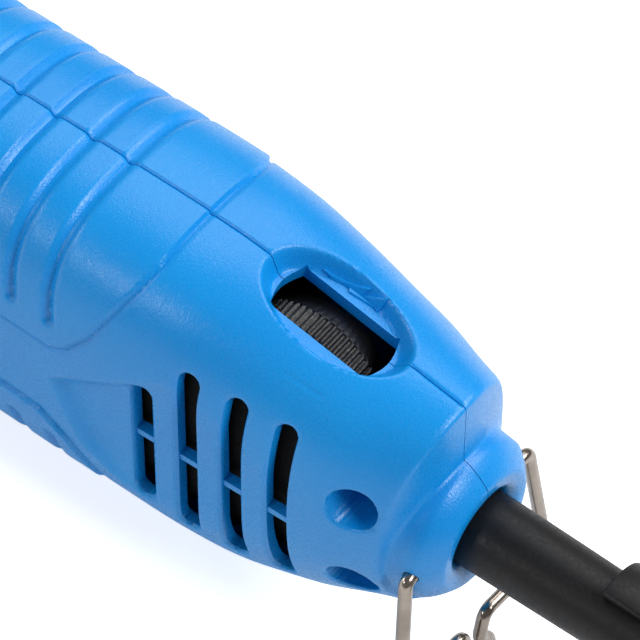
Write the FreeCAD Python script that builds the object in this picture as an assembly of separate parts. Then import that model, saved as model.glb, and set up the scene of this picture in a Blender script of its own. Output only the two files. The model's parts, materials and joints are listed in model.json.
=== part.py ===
import FreeCAD, Part
import math
import os
from FreeCAD import Vector as V

# Handheld rotary tool (mini grinder) with a cord, a speed dial and a wire hanger at the tail.
# Everything is drawn lying level in the tool's own frame: the cord axis is X, the tail points to +X,
# Y = 0 is the seam between the two housing halves, and x = 0, z = 0 is the hanger's pivot.
# At the end each piece is pitched tail-up and set on the bench (z = 0), resting on its belly and hanger.

# ---- driving dimensions, millimetres ----
pitchDeg = 9.1            # how far the tail is propped up by the hanger
wall = 2.4                # housing wall
sectionPoints = 24        # points that shape each section curve
motorZ = 4.6              # the motor and spindle axis above the cord axis
ribPitch = 6.8            # grip ribs
ribDepth = 0.85
ribWidth = 2.5
ribFirstX = -59.8
ribCount = 6
slotPitch = 7.6           # cooling slots
slotWidth = 3.9
slotFirstX = -19.4
wheelR = 11.2             # speed dial
wheelX = -26.4
wheelZ = 14.4
wheelTeeth = 60
wireR = 1.05              # hanger wire
cordR = 3.2               # mains cord
sleeveR = 6.05            # strain relief at the tail collar
fit = 0.05                # running clearance on a radius
barZ = 2.4                # bridging bars across the slots
slotEnds = [(20.6, -14.2), (21.6, -14.8), (22.2, -13.8), (14.8, -11.6)]   # top and bottom, rear slot first
panelOutline = [(-58.6, 6.6), (-36.5, 21.5), (-25, 24), (-25, -20), (-36, -16.0), (-46.5, -12.5), (-53.6, -6)]
dishAt = (-23.3, -0.4, 26.6)   # centre of the dial recess's floor
dishTilt = 11.8
screwSpots = [(-8.8, 10.9), (-8.8, -7.0), (-54.0, -19.0), (-121.0, 20.5), (-121.0, -11.5), (-138.0, -7.2)]
screwSeat = 6.0           # screw heads sit this far to the near side of the seam
screwR = 1.45
screwHeadR = 3.0
wellR = 3.7
bossR = 4.3
neckR = 5.0               # strain relief's neck inside the housing
sleeveEnd = 52.0
sleeveRibPitch = 9.0      # broad ribs wrap the strain relief from alternate sides
sleeveRibLength = 7.2
coreX = -98.0             # front end of the stator and armature stacks
coreLength = 28.0
armatureR = 2.5           # armature shaft
spindleR = 4.0
rearBearingX = -49.5
frontBearingX = -117.0
spindleBearingX = -146.5
bushX = -131.0
brushX = -59.0
fanX = -111.0
couplingX = -124.0
lockX = -138.0
switchX = -104.0
shankR = 1.6              # bore of the collet, for 3.2 mm shanks
shaftR = 3.0              # potentiometer shaft
boardZ = -8.0             # underside of the speed control board
leadR = 0.8               # insulated leads inside
hangerShift = 1.2         # the hanger sits a little to the far side in its holes
cornerX = 2.0             # the hanger hangs slightly rearward
hankR = 19.5              # half rounds at the ends of the cord's hank
hankHalf = 34.8           # half the hank's straight run
hankLayers = 5

# Outline of the housing: x, top z, bottom z, centre z, half width, squareness of the section
tailStations = [
    (-1.5, 25.8, -16.7, 3.0, 16.0, 2.05),
    (-10.0, 27.6, -20.4, 3.2, 17.2, 2.2),
    (-20.0, 29.8, -24.4, 3.6, 18.3, 2.45),
    (-29.0, 31.7, -26.6, 4.0, 19.3, 2.7),
    (-38.0, 33.3, -26.3, 4.3, 20.4, 2.8),
    (-48.0, 33.8, -25.0, 4.6, 21.3, 2.8),
]
noseStations = [
    (-106.0, 33.8, -25.0, 4.6, 21.3, 2.8),
    (-118.0, 30.6, -21.4, 4.6, 19.8, 2.4),
    (-132.0, 24.6, -15.4, 4.6, 17.0, 2.1),
    (-144.0, 20.4, -11.2, 4.6, 15.2, 2.0),
    (-152.0, 18.6, -9.4, 4.6, 14.0, 2.0),
]

os.makedirs("parts", exist_ok=True)
parts = {}


def cyl(r, length, at, axis):
    return Part.makeCylinder(r, length, V(*at), V(*axis))


def tube(r_out, r_in, length, at, axis):
    return cyl(r_out, length, at, axis).cut(cyl(r_in, length, at, axis))


def box(x0, x1, y0, y1, z0, z1):
    return Part.makeBox(x1 - x0, y1 - y0, z1 - z0, V(x0, y0, z0))


def turned(profile, z=0.0):
    """Solid of revolution about the X direction at height z: profile lists (x, radius)."""
    pts = [V(x, r, 0) for x, r in profile]
    pts = [V(profile[0][0], 0, 0)] + pts + [V(profile[-1][0], 0, 0)]
    solid = Part.Face(Part.makePolygon(pts + [pts[0]])).revolve(V(0, 0, 0), V(1, 0, 0), 360)
    solid.translate(V(0, 0, z))
    return solid


def fuse(shapes):
    result = shapes[0].multiFuse(shapes[1:]) if len(shapes) > 1 else shapes[0]
    return result.removeSplitter()


def section(station, inset=0.0, x=None):
    """Closed curve across the housing: a squared ellipse, drawn inset from the outer skin."""
    at, top, bottom, centre, half, power = station
    at = at if x is None else x
    points = []
    for i in range(sectionPoints):
        angle = 2 * math.pi * i / sectionPoints
        c = math.cos(angle)
        s = math.sin(angle)
        tall = (top - centre if s > 0 else centre - bottom) - inset
        y = (half - inset) * math.copysign(abs(c) ** (2 / power), c)
        z = centre + tall * math.copysign(abs(s) ** (2 / power), s)
        points.append(V(at, y, z))
    curve = Part.BSplineCurve()
    curve.interpolate(Points=points, PeriodicFlag=True)
    return Part.Wire([curve.toShape()])


def skin(inset=0.0, x_rear=-1.5, x_front=-152.0):
    """The housing's outline as one solid, inset from the outer skin all round."""
    grip = tailStations[-1]
    tail = [section(s, inset, x_rear if s is tailStations[0] else None) for s in tailStations]
    nose = [section(s, inset, x_front if s is noseStations[-1] else None) for s in noseStations]
    middle = Part.Face(section(grip, inset)).extrude(V(noseStations[0][0] - grip[0], 0, 0))
    return Part.makeLoft(tail, True, False).fuse([middle, Part.makeLoft(nose, True, False)])


def side_prism(points, y0, y1, radius=0.0):
    """Prism across the tool from an outline of (x, z) points, with its long edges rounded."""
    pts = [V(x, y0, z) for x, z in points]
    prism = Part.Face(Part.makePolygon(pts + [pts[0]])).extrude(V(0, y1 - y0, 0))
    if radius:
        across = [e for e in prism.Edges if abs(e.tangentAt(e.FirstParameter).y) > 0.99]
        prism = prism.makeFillet(radius, across)
    return prism


def rod(start, end, radius):
    """Round bar between two points."""
    way = V(*end) - V(*start)
    return Part.makeCylinder(radius, way.Length, V(*start), way)


def tangent_path(points, radii=None, report=""):
    """Straight runs joined by tangent arcs. Without radii each arc is as large as its two runs allow."""
    pts = [V(*p) for p in points]
    edges = []
    here = pts[0]
    used = []
    for i in range(1, len(pts) - 1):
        before = (pts[i] - pts[i - 1]).normalize()
        after = (pts[i + 1] - pts[i]).normalize()
        half_turn = before.getAngle(after) / 2
        shorter = min((pts[i] - pts[i - 1]).Length, (pts[i + 1] - pts[i]).Length)
        radius = radii[i - 1] if radii else 0.45 * shorter / math.tan(half_turn)
        used.append(round(radius, 1))
        reach = radius * math.tan(half_turn)
        start = pts[i] - before * reach
        end = pts[i] + after * reach
        inward = (after - before).normalize()
        middle = pts[i] + inward * (radius / math.cos(half_turn) - radius)
        if (start - here).Length > 1e-6:
            edges.append(Part.LineSegment(here, start).toShape())
        edges.append(Part.Arc(start, middle, end).toShape())
        here = end
    edges.append(Part.LineSegment(here, pts[-1]).toShape())
    if report:
        print(report, "arc radii", used)
    return Part.Wire(edges)


def swept(path, radius):
    """Round tube along a path, checked against its section times its length."""
    first = path.Edges[0]
    ring = Part.Wire([Part.makeCircle(radius, first.valueAt(first.FirstParameter),
                                      first.tangentAt(first.FirstParameter))])
    solid = path.makePipeShell([ring], True, False)
    print("swept volume / section x length", round(solid.Volume / (math.pi * radius ** 2 * path.Length), 4))
    return solid


def spring(radius, wire, length, turns, at, axis):
    """Compression spring drawn as closed turns, one above the other, standing at a point along an axis."""
    step = length / (turns - 1)
    rings = Part.makeCompound([Part.makeTorus(radius, wire, V(0, 0, i * step)) for i in range(turns)])
    rings.Placement = FreeCAD.Placement(V(*at), FreeCAD.Rotation(V(0, 0, 1), V(*axis)))
    return rings


def brush_lead(side):
    """Ends of the lead from the board to the brush on one side."""
    return (-44.0, side * 7.0, boardZ + 2.7), (brushX + 3.0, side * 12.0, motorZ - 5.2)


# ---- housing: one shell, finished, then split along the seam ----
outer = skin()
cavity = skin(wall, -5.0, -150.0)
shell = outer.cut(cavity)

# tail collar, a short domed ring round the cord, and the socket that grips the strain relief behind it
collar = turned([(-4.0, 13.4), (-2.0, 13.3), (0.4, 12.3), (2.4, 10.9), (3.5, 9.4)])
socket = cyl(8.4, 10.0, (-12.4, 0, 0), (1, 0, 0))

# webs across the inside hold the bearings and the stator
websAt = [(rearBearingX, 8.0), (-71.5, 18.05), (-96.5, 18.05), (frontBearingX, 8.0), (bushX, 7.0),
          (spindleBearingX, 11.0)]
webs = []
for x, r in websAt:
    slab = cavity.common(box(x - 1.5, x + 1.5, -30, 30, -40, 20.5))
    webs.append(slab.cut(cyl(r, 8, (x - 4, 0, motorZ), (1, 0, 0))))
ledges = cavity.common(box(-45, -21, -30, 30, boardZ - 1.2, boardZ)).cut(box(-46, -20, -12.6, 12.6, -30, 30))
bosses = [cyl(bossR, 60, (x, -30, z), (0, 1, 0)).common(outer) for x, z in screwSpots]
shell = shell.fuse([collar, socket, ledges] + webs + bosses)

# screw wells on the near side, pilot holes in the far half
wells = []
for x, z in screwSpots:
    wells.append(cyl(wellR, 30, (x, -30 - screwSeat, z), (0, 1, 0)))
    wells.append(cyl(screwR, 16.0, (x, -screwSeat - 1, z), (0, 1, 0)))

# sleeve bore, collar mouth, hanger holes, nose bore, and the recess that clears the strain relief's flange
bores = [cyl(sleeveR + 0.1, 20, (-2.8, 0, 0), (1, 0, 0)), cyl(neckR + 0.1, 20, (-14, 0, 0), (1, 0, 0)),
         turned([(2.0, sleeveR + 0.2), (3.6, sleeveR + 1.6)]), cyl(10.95, 8, (-154, 0, motorZ), (1, 0, 0)),
         cyl(wireR + 0.08, 12, (0, -18, 0), (0, 1, 0)), cyl(wireR + 0.08, 12, (0, 6.2, 0), (0, 1, 0))]
shell = shell.cut(wells + bores + [rod(*brush_lead(side), leadR + 0.4) for side in (-1, 1)])

# grip ribs: short grooves down both flanks from the spine, and the same up from the belly
grip = Part.Face(section(tailStations[-1], ribDepth)).extrude(V(-60, 0, 0))
grooves = []
for i in range(ribCount):
    x = ribFirstX - i * ribPitch
    grooves.append(box(x - ribWidth / 2, x + ribWidth / 2, -30, 30, 16.4, 40))
    grooves.append(box(x - ribWidth / 2, x + ribWidth / 2, -30, 30, -30, -7.5))
shell = shell.cut(Part.makeCompound(grooves).cut(grip))

# sunk panels on both flanks, running out into the tapering tail
for side in (-1, 1):
    panel = side_prism(panelOutline, min(side * 12, side * 30), max(side * 12, side * 30), 1.5)
    plane = Part.makePolygon([V(-70, side * 20.0, -30), V(-20, side * 18.0, -30), V(-20, side * 40, -30),
                              V(-70, side * 40, -30), V(-70, side * 20.0, -30)])
    shell = shell.cut(panel.common(Part.Face(plane).extrude(V(0, 0, 60))))

# cooling slots, each crossed by a bridging bar
slots = []
bars = []
for i, (high, low) in enumerate(slotEnds):
    x = slotFirstX - i * slotPitch
    r = slotWidth / 2
    tall = box(x - r, x + r, -30, 30, low + r, high - r)
    slots.append(tall.fuse([cyl(r, 60, (x, -30, z), (0, 1, 0)) for z in (low + r, high - r)]))
    bars.append(box(x - r, x + r, -30, 30, barZ - 0.8, barZ + 0.8))
ports = Part.makeCompound(slots).cut(box(-60, 0, -11, 11, -40, 40)).cut(Part.makeCompound(bars))
shell = shell.cut(ports)


# dial recess on the spine: an oval dish that slopes with the tail, and a window for the wheel
def oval(a, b, height):
    return Part.Wire([Part.Ellipse(V(0, 0, height), a, b).toShape()])


tilt = FreeCAD.Placement(V(*dishAt), FreeCAD.Rotation(V(0, 1, 0), dishTilt))
dish = Part.makeLoft([oval(9.2, 4.9, 0.0), oval(12.0, 7.3, 3.4), oval(14.4, 9.2, 7.0)], True, True)
dishWall = Part.makeLoft([oval(11.4, 7.1, -wall), oval(14.6, 9.8, 2.4)], True, True)
window = box(-8.4, 8.4, -4.05, 4.05, -8.0, 2.0)
for shape in (dish, dishWall, window):
    shape.Placement = tilt
shell = shell.fuse(dishWall.common(outer)).cut([dish, window])

# raised wedge in the far side of the dish shows which way the dial turns
arrowPts = [(-7.4, 5.3), (-0.6, 6.9), (-0.9, 6.0), (5.8, 6.0), (5.6, 4.5), (-1.4, 4.6), (-1.8, 5.2)]
arrow = Part.Face(Part.makePolygon([V(x, y, 0.3) for x, y in arrowPts + arrowPts[:1]])).extrude(V(0, 0, 3.0))
arrow.Placement = tilt
raised = dish.copy()
raised.translate(V(0, -0.3, 0.3))
shell = shell.fuse(arrow.common(dish).cut(raised))

# openings for the switch slider and the spindle lock
switchWay = box(switchX - 7.0, switchX + 7.0, -3.3, 3.3, 24, 40)
shell = shell.cut([switchWay, cyl(4.25, 20, (lockX, 0, 14), (0, 0, 1))])
for name, y0, y1 in (("housing_left", -40, -0.02), ("housing_right", 0.02, 40)):
    half = shell.common(box(-170, 20, y0, y1, -60, 60))
    lumps = sorted(half.Solids, key=lambda s: -s.Volume)
    parts[name] = lumps[0]
    print(name, "valid", lumps[0].isValid(), "volume", round(lumps[0].Volume), "lumps", len(lumps))

# ---- screws: pan heads down the wells, shanks across the seam ----
screws = []
recess = (-screwSeat - 3, -screwSeat - 1.2)
for x, z in screwSpots:
    cross = [box(x - 2, x + 2, *recess, z - 0.4, z + 0.4), box(x - 0.4, x + 0.4, *recess, z - 2, z + 2)]
    head = cyl(screwHeadR, 2.2, (x, -screwSeat - 2.2, z), (0, 1, 0)).cut(cross)
    screws.append(head.fuse(cyl(screwR - 0.03, 14.5, (x, -screwSeat, z), (0, 1, 0))))
parts["housing_screws"] = Part.makeCompound(screws)

# ---- motor ----
core = tube(18.0, 14.6, coreLength, (coreX, 0, motorZ), (1, 0, 0))
pole = tube(15.0, 11.4, coreLength, (coreX, 0, motorZ), (1, 0, 0)).common(box(-120, -40, -8, 8, -40, 60))
parts["field_core"] = core.fuse(pole).removeSplitter()
loop = tube(14.4, 11.6, coreLength + 9, (coreX - 4.5, 0, motorZ), (1, 0, 0))
loop = loop.common(box(-120, -40, -11.0, 11.0, motorZ + 3, 60))
loop = loop.cut(box(coreX - 0.2, coreX + coreLength + 0.2, -8.2, 8.2, -40, 60))
parts["field_coil_upper"] = loop
parts["field_coil_lower"] = loop.mirror(V(0, 0, motorZ), V(0, 0, 1))
shaftRear = rearBearingX + 3.5
parts["armature_shaft"] = cyl(armatureR, shaftRear - couplingX, (couplingX, 0, motorZ), (1, 0, 0))
coreSlots = []
for i in range(12):
    bar = box(coreX - 1, coreX + coreLength + 1, -0.9, 0.9, 8.0, 12.0)
    bar.rotate(V(0, 0, 0), V(1, 0, 0), 30 * i)
    bar.translate(V(0, 0, motorZ))
    coreSlots.append(bar)
parts["armature_core"] = tube(11.0, armatureR, coreLength, (coreX, 0, motorZ), (1, 0, 0)).cut(coreSlots)
windings = []
for x in (coreX - 4.8, coreX + coreLength):
    end = turned([(x, 6.0), (x + 0.8, 9.2), (x + 4.0, 9.2), (x + 4.8, 6.0)], motorZ)
    windings.append(end.cut(cyl(armatureR, 80, (-120, 0, motorZ), (1, 0, 0))))
parts["armature_windings"] = Part.makeCompound(windings)
segments = tube(6.8, armatureR, 9.0, (brushX - 4.5, 0, motorZ), (1, 0, 0))
gaps = []
for i in range(24):
    gap = box(brushX - 5, brushX + 5, -0.2, 0.2, 6.2, 8)
    gap.rotate(V(0, 0, 0), V(1, 0, 0), 15 * i + 7.5)
    gap.translate(V(0, 0, motorZ))
    gaps.append(gap)
parts["commutator"] = segments.cut(gaps)

# fan: a back plate with curved-in blades, drawing air through the tail slots
fan = turned([(fanX - 1.2, 16.0), (fanX, 16.0)], motorZ)
fan = fan.fuse(cyl(5.0, 7.0, (fanX - 1.2, 0, motorZ), (1, 0, 0)))
blades = []
for i in range(11):
    blade = box(fanX, fanX + 5.0, -0.6, 0.6, 6.5, 15.6)
    blade.rotate(V(0, 0, 8), V(1, 0, 0), 24)
    blade.rotate(V(0, 0, 0), V(1, 0, 0), i * 360 / 11)
    blade.translate(V(0, 0, motorZ))
    blades.append(blade)
parts["cooling_fan"] = fan.fuse(blades).cut(cyl(armatureR, 20, (fanX - 8, 0, motorZ), (1, 0, 0)))
baffle = tube(17.4, 12.0, 1.2, (coreX - 6.4, 0, motorZ), (1, 0, 0))
parts["air_baffle"] = baffle.fuse(tube(17.4, 16.6, 5.0, (coreX - 6.4, 0, motorZ), (1, 0, 0)))


# ---- bearings: outer race and balls stay, inner race turns ----
def bearing(name, x, r_in, r_out, width):
    mid = (r_in + r_out) / 2
    ball = (r_out - r_in) * 0.27
    track = Part.makeTorus(mid, ball + 0.06, V(x, 0, motorZ), V(1, 0, 0))
    at = (x - width / 2, 0, motorZ)
    parts[name + "_outer_race"] = tube(r_out, mid + ball * 0.45, width, at, (1, 0, 0)).cut(track)
    parts[name + "_inner_race"] = tube(mid - ball * 0.45, r_in, width, at, (1, 0, 0)).cut(track)
    balls = []
    for i in range(7):
        a = 2 * math.pi * i / 7
        balls.append(Part.makeSphere(ball, V(x, mid * math.cos(a), motorZ + mid * math.sin(a))))
    parts[name + "_balls"] = Part.makeCompound(balls)


bearing("rear_bearing", rearBearingX, armatureR, 8.0, 5.0)
bearing("middle_bearing", frontBearingX, armatureR, 8.0, 5.0)
bearing("spindle_bearing", spindleBearingX, spindleR, 11.0, 7.0)


# ---- brush gear on both sides of the commutator ----
def brush_block(side, length, height, inner, outer):
    y0, y1 = sorted((side * inner, side * outer))
    return box(brushX - length / 2, brushX + length / 2, y0, y1, motorZ - height / 2, motorZ + height / 2)


for name, side in (("left", -1), ("right", 1)):
    pocket = brush_block(side, 5.2, 6.2, 8.0, 17.6)
    parts["brush_holder_" + name] = brush_block(side, 8.0, 8.6, 8.2, 18.4).cut(pocket)
    parts["carbon_brush_" + name] = brush_block(side, 5.0, 6.0, 6.9, 13.8)
    parts["brush_spring_" + name] = spring(1.7, 0.3, 3.0, 4, (brushX, side * 14.2, motorZ), (0, side, 0))

# ---- spindle line ----
coupling = cyl(5.2, 8.0, (couplingX - 4.0, 0, motorZ), (1, 0, 0))
coupling = coupling.cut(cyl(armatureR, 6, (couplingX, 0, motorZ), (1, 0, 0)))
parts["drive_coupling"] = coupling.cut(cyl(spindleR, 4, (couplingX - 5.0, 0, motorZ), (1, 0, 0)))
profile = [(-182, 4.5), (-168, 4.5), (-168, spindleR), (lockX - 3.0, spindleR), (lockX - 3.0, 7.0),
           (lockX + 3.0, 7.0), (lockX + 3.0, spindleR), (couplingX - 1.05, spindleR)]
spindle = turned(profile, motorZ).cut(cyl(2.45, 21, (-183, 0, motorZ), (1, 0, 0)))
spindle = spindle.cut(turned([(-182.1, 3.65), (-178.4, 2.45)], motorZ))
parts["spindle"] = spindle.cut(cyl(1.75, 20, (lockX, 0, motorZ - 10), (0, 0, 1)))
parts["spindle_bush"] = tube(7.0, spindleR + fit, 4.0, (bushX - 2.0, 0, motorZ), (1, 0, 0))
collet = turned([(-185.5, 2.65), (-183.2, 2.75), (-182.0, 3.5), (-178.5, 2.4), (-162.5, 2.4)], motorZ)
collet = collet.cut(cyl(shankR, 30, (-188, 0, motorZ), (1, 0, 0)))
slits = []
for i in range(3):
    slit = box(-188, -168, -0.25, 0.25, 0.5, 5)
    slit.rotate(V(0, 0, 0), V(1, 0, 0), 120 * i)
    slit.translate(V(0, 0, motorZ))
    slits.append(slit)
parts["collet"] = collet.cut(slits)
nut = turned([(-186.4, 4.2), (-184.6, 6.2), (-174.0, 6.6), (-173.2, 5.8)], motorZ)
nut = nut.cut(cyl(4.5 + fit, 12, (-183.4, 0, motorZ), (1, 0, 0)))
nut = nut.cut(cyl(2.9, 10, (-190, 0, motorZ), (1, 0, 0)))
flutes = []
for i in range(12):
    flute = cyl(0.8, 8.4, (-183.4, 0, 7.0), (1, 0, 0))
    flute.rotate(V(0, 0, 0), V(1, 0, 0), 30 * i)
    flute.translate(V(0, 0, motorZ))
    flutes.append(flute)
parts["collet_nut"] = nut.cut(flutes)

# threaded nose ring held in the front of the housing, and the cap screwed over it
profile = [(-166, 8.6), (-165.4, 9.0), (-153.3, 9.0), (-153.3, 13.4), (-152.02, 13.4), (-152.02, 10.9),
           (-150.3, 10.9)]
parts["nose_ring"] = turned(profile, motorZ).cut(cyl(6.9, 30, (-170, 0, motorZ), (1, 0, 0)))
cap = turned([(-172.2, 8.6), (-171.2, 10.6), (-160, 12.9), (-154.4, 13.9), (-153.6, 13.9)], motorZ)
cap = cap.cut(cyl(9.0 + fit, 14.2, (-166.6, 0, motorZ), (1, 0, 0)))
cap = cap.cut(cyl(7.4, 12, (-173, 0, motorZ), (1, 0, 0)))
for i in range(16):
    flute = rod((-171.5, 0, 11.7), (-153.0, 0, 15.1), 1.1)
    flute.rotate(V(0, 0, 0), V(1, 0, 0), 22.5 * i)
    flute.translate(V(0, 0, motorZ))
    cap = cap.cut(flute)
parts["nose_cap"] = cap

# spindle lock: a button on a pin, pushed down into the spindle's cross hole against a spring
button = cyl(4.0, 6.8, (lockX, 0, 17.4), (0, 0, 1)).fuse(cyl(4.9, 1.0, (lockX, 0, 16.4), (0, 0, 1)))
rim = [e for e in button.Edges if e.BoundBox.ZMin > 24.1]
parts["lock_button"] = button.makeFillet(0.9, rim)
parts["lock_pin"] = cyl(1.5, 4.0, (lockX, 0, 12.4), (0, 0, 1))
parts["lock_spring"] = spring(3.1, 0.3, 2.8, 3, (lockX, 0, 13.25), (0, 0, 1))
guide = tube(4.6, 1.6, 0.9, (lockX, 0, 12.0), (0, 0, 1))
guide = guide.fuse(box(lockX - 1.6, lockX + 1.6, 4.2, 12.6, 12.0, 12.9))
guide = guide.fuse(box(lockX - 1.6, lockX + 1.6, -12.6, -4.2, 12.0, 12.9))
parts["lock_guide"] = guide.common(cavity)

# ---- slide switch on the spine ----
switchBody = box(switchX - 6.5, switchX + 6.5, -5.6, 5.6, 23.2, 28.6)
parts["switch_body"] = switchBody.cut(box(switchX - 7, switchX + 7, -1.6, 1.6, 26.4, 29))
slider = box(switchX - 1.3, switchX + 6.7, -2.9, 2.9, 29.0, 34.2)
slider = slider.fuse(box(switchX + 1.0, switchX + 5.0, -1.3, 1.3, 26.8, 29.2))
thumbOutline = [(-3.2, 34.15), (-2.4, 36.2), (2.7, 37.4), (7.4, 36.4), (8.4, 34.15)]
thumb = side_prism([(switchX + x, z) for x, z in thumbOutline], -5.0, 5.0, 0.5)
ridges = [box(switchX + x, switchX + x + 0.8, -5.2, 5.2, 36.3, 38) for x in (0.2, 2.3, 4.4)]
parts["switch_slider"] = slider.fuse(thumb.cut(ridges)).removeSplitter()

# ---- speed dial: a toothed rim with a coned shoulder, on the potentiometer's shaft ----
dialOutline = [(shaftR, -3.7), (10.6, -3.7), (wheelR, -3.3), (wheelR, 0.0), (9.4, 3.7), (shaftR, 3.7)]
pts = [V(r, y, 0) for r, y in dialOutline + dialOutline[:1]]
dial = Part.Face(Part.makePolygon(pts)).revolve(V(0, 0, 0), V(0, 1, 0), 360)
teeth = []
for i in range(wheelTeeth):
    notch = box(wheelR - 0.45, wheelR + 1, -4, 0.1, -0.3, 0.3)
    notch.rotate(V(0, 0, 0), V(0, 1, 0), 360 * i / wheelTeeth)
    teeth.append(notch)
dial = dial.cut(Part.makeCompound(teeth))
dial.translate(V(wheelX, 0, wheelZ))
parts["speed_dial"] = dial
parts["dial_shaft"] = cyl(shaftR, 10.6, (wheelX, -4.4, wheelZ), (0, 1, 0))
pot = cyl(7.4, 5.6, (wheelX, 4.4, wheelZ), (0, 1, 0))
pot = pot.cut(cyl(shaftR + fit, 2.6, (wheelX, 4.0, wheelZ), (0, 1, 0)))
foot = box(wheelX - 3.6, wheelX + 3.6, 8.0, 9.0, boardZ + 1.7, wheelZ)
parts["potentiometer"] = pot.fuse(foot).removeSplitter()

# ---- speed control board ----
parts["circuit_board"] = box(-44.5, -21.5, -12.9, 12.9, boardZ, boardZ + 1.6)
fins = [box(-43, -27, y, y + 1, boardZ - 12.4, boardZ - 7.2) for y in (-9, -4.6, 0, 4.2, 8)]
parts["heat_sink"] = fuse([box(-43, -27, -9, 9, boardZ - 7.4, boardZ - 6.2)] + fins)
legs = [box(x, x + 0.8, -1, 1, boardZ - 2, boardZ) for x in (-38, -35.4, -32.8)]
parts["triac"] = box(-40, -30, -6.5, 6.5, boardZ - 6.1, boardZ - 1.8).fuse(legs)
parts["capacitor"] = box(-26.5, -22.0, -9, 9, boardZ - 11, boardZ)
parts["choke"] = Part.makeTorus(3.6, 1.7, V(-34.5, -7.0, boardZ + 3.4), V(0, 0, 1))

# insulated leads on both sides: board to brushes, board up to the spine, and along it to the switch
leads = []
for side in (-1, 1):
    leads.append(rod(*brush_lead(side), leadR))
    leads.append(rod((-43.4, side * 10.5, boardZ + 2.6), (-47.2, side * 7.5, 24.6), leadR))
    leads.append(rod((-48.4, side * 6.4, 25.4), (switchX + 6.8, side * 3.6, 25.4), leadR))
parts["inner_leads"] = Part.makeCompound(leads)

# ---- strain relief: flange and neck held in the housing, sleeve, then flexible ribs ----
sleeve = turned([(-15.2, 7.6), (-12.6, 7.6), (-12.6, neckR), (-2.7, neckR), (-2.7, sleeveR), (24.0, 5.7),
                 (sleeveEnd, 4.6)])
ribs = []
for i in range(3):
    x = 24.6 + i * sleeveRibPitch
    outerR = 7.9 - i * 0.6
    end = x + sleeveRibLength
    block = turned([(x, outerR - 0.5), (x + 0.5, outerR), (end - 0.5, outerR), (end, outerR - 0.5)])
    far = -2.5 if i % 2 == 0 else -10
    ribs.append(block.common(box(x - 1, end + 1, far, far + 12.5, -10, 10)))
ribs.append(turned([(sleeveEnd - 2.4, 5.6), (sleeveEnd, 5.4)]))
parts["strain_relief"] = sleeve.fuse(ribs).removeSplitter()

# ---- wire hanger: both ends turn in the collar, the wire narrows to a small hanging eye ----
half = [(0, 14.8, 0), (cornerX, 18.0, -28.3), (cornerX - 0.1, 2.7, -26.9), (cornerX, 1.45, -32.6)]
eye = [(4.3, -35.4), (4.3, -41.0)]
half += [(cornerX, y, z) for y, z in eye]
points = [(0, 6.9, 0)] + [(x, hangerShift + y, z) for x, y, z in half]
points += [(x, hangerShift - y, z) for x, y, z in reversed(half)] + [(0, -6.9, 0)]
sides = [1.7, 2.2, 2.2, 2.6, 1.6, 2.2]
parts["wire_hanger"] = swept(tangent_path(points, sides + sides[::-1]), wireR)

# ---- pitch everything tail-up and set it on the bench ----
turn = FreeCAD.Rotation(V(0, 1, 0), -pitchDeg)
for shape in parts.values():
    shape.Placement = FreeCAD.Placement(V(0, 0, 0), turn).multiply(shape.Placement)
boxes = [shape.BoundBox for shape in parts.values()]
shift = V(-(min(q.XMin for q in boxes) + max(q.XMax for q in boxes)) / 2, 0, -min(q.ZMin for q in boxes))
for shape in parts.values():
    shape.translate(shift)


def benched(x, y, z):
    """A point of the tool's own frame where it lies on the bench."""
    return turn.multVec(V(x, y, z)) + shift


belly = benched(-106, 0, -25.0)
print("shift", [round(v, 4) for v in shift], "belly height", round(belly.z, 3))

# ---- mains cord: out of the strain relief, down to the bench, and into a tied hank behind the tool ----
start = benched(sleeveEnd, 0, 0)
ahead = turn.multVec(V(1, 0, 0))
lead = start + ahead * 30
low = cordR + 0.05
hankStart = lead.x + 114.5
top = low + (hankLayers - 1) * 2 * cordR
route = [start, lead, (lead.x + 30.5, -3, lead.z - 11.4), (lead.x + 58.5, -11, 19),
         (lead.x + 88.5, -hankR, low), (hankStart, -hankR, low)]
route = [tuple(p) for p in route]
print("cord route", [[round(v, 3) for v in p] for p in route])
path = tangent_path(route, report="cord")
parts["cord"] = swept(path, cordR)

# the hank: turns stacked on each other, two straight runs joined by half rounds
hankMiddle = hankStart + hankHalf


def stadium(r, height):
    """Upright solid with the outline of the hank: a straight run with half round ends."""
    slab = Part.makeBox(2 * hankHalf, 2 * r, height, V(hankStart, -r, 0.05))
    ends = [cyl(r, height, (hankMiddle + side * hankHalf, 0, 0.05), (0, 0, 1)) for side in (-1, 1)]
    return slab.multiFuse(ends).removeSplitter()


hankTall = hankLayers * 2 * cordR
hank = stadium(hankR + cordR, hankTall).cut(stadium(hankR - cordR, hankTall))
parts["cord_coil"] = hank
strapHalf = hankR + cordR
strap = box(-3, 3, -strapHalf - 1.6, strapHalf + 1.6, 0.0, hankTall + 1.6)
strap = strap.cut(box(-4, 4, -strapHalf - 0.4, strapHalf + 0.4, -1, hankTall + 0.4))
strap.translate(V(hankMiddle, 0, 0))
parts["cord_tie"] = strap

# the other end leaves the top of the hank, back towards the tool, and runs into the plug on the bench
tail = [(hankStart, hankR, top), (hankStart - 26, hankR, top), (hankStart - 60, 13, low),
        (hankStart - 82, 11, low)]
print("tail route", [[round(v, 3) for v in p] for p in tail], "hank middle", round(hankMiddle, 3))
tailPath = tangent_path(tail, report="tail")
parts["cord_tail"] = swept(tailPath, cordR)
print("lengths: run", round(path.Length, 1), "tail", round(tailPath.Length, 1))
body = Part.makeBox(26, 36, 13, V(-13, -36, 0))
body = body.makeFillet(2.4, body.Edges).fuse(Part.makeCylinder(4.6, 16, V(0, 15, 4.6), V(0, -1, 0)))
pins = [Part.makeCylinder(2.0, 19, V(side * 9.3, -36, 6.5), V(0, -1, 0)) for side in (-1, 1)]
place = FreeCAD.Placement(V(tail[-1][0] - 15, tail[-1][1], 0.05), FreeCAD.Rotation(V(0, 1, 0), V(1, 0, 0)))
parts["plug_body"] = body
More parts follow.
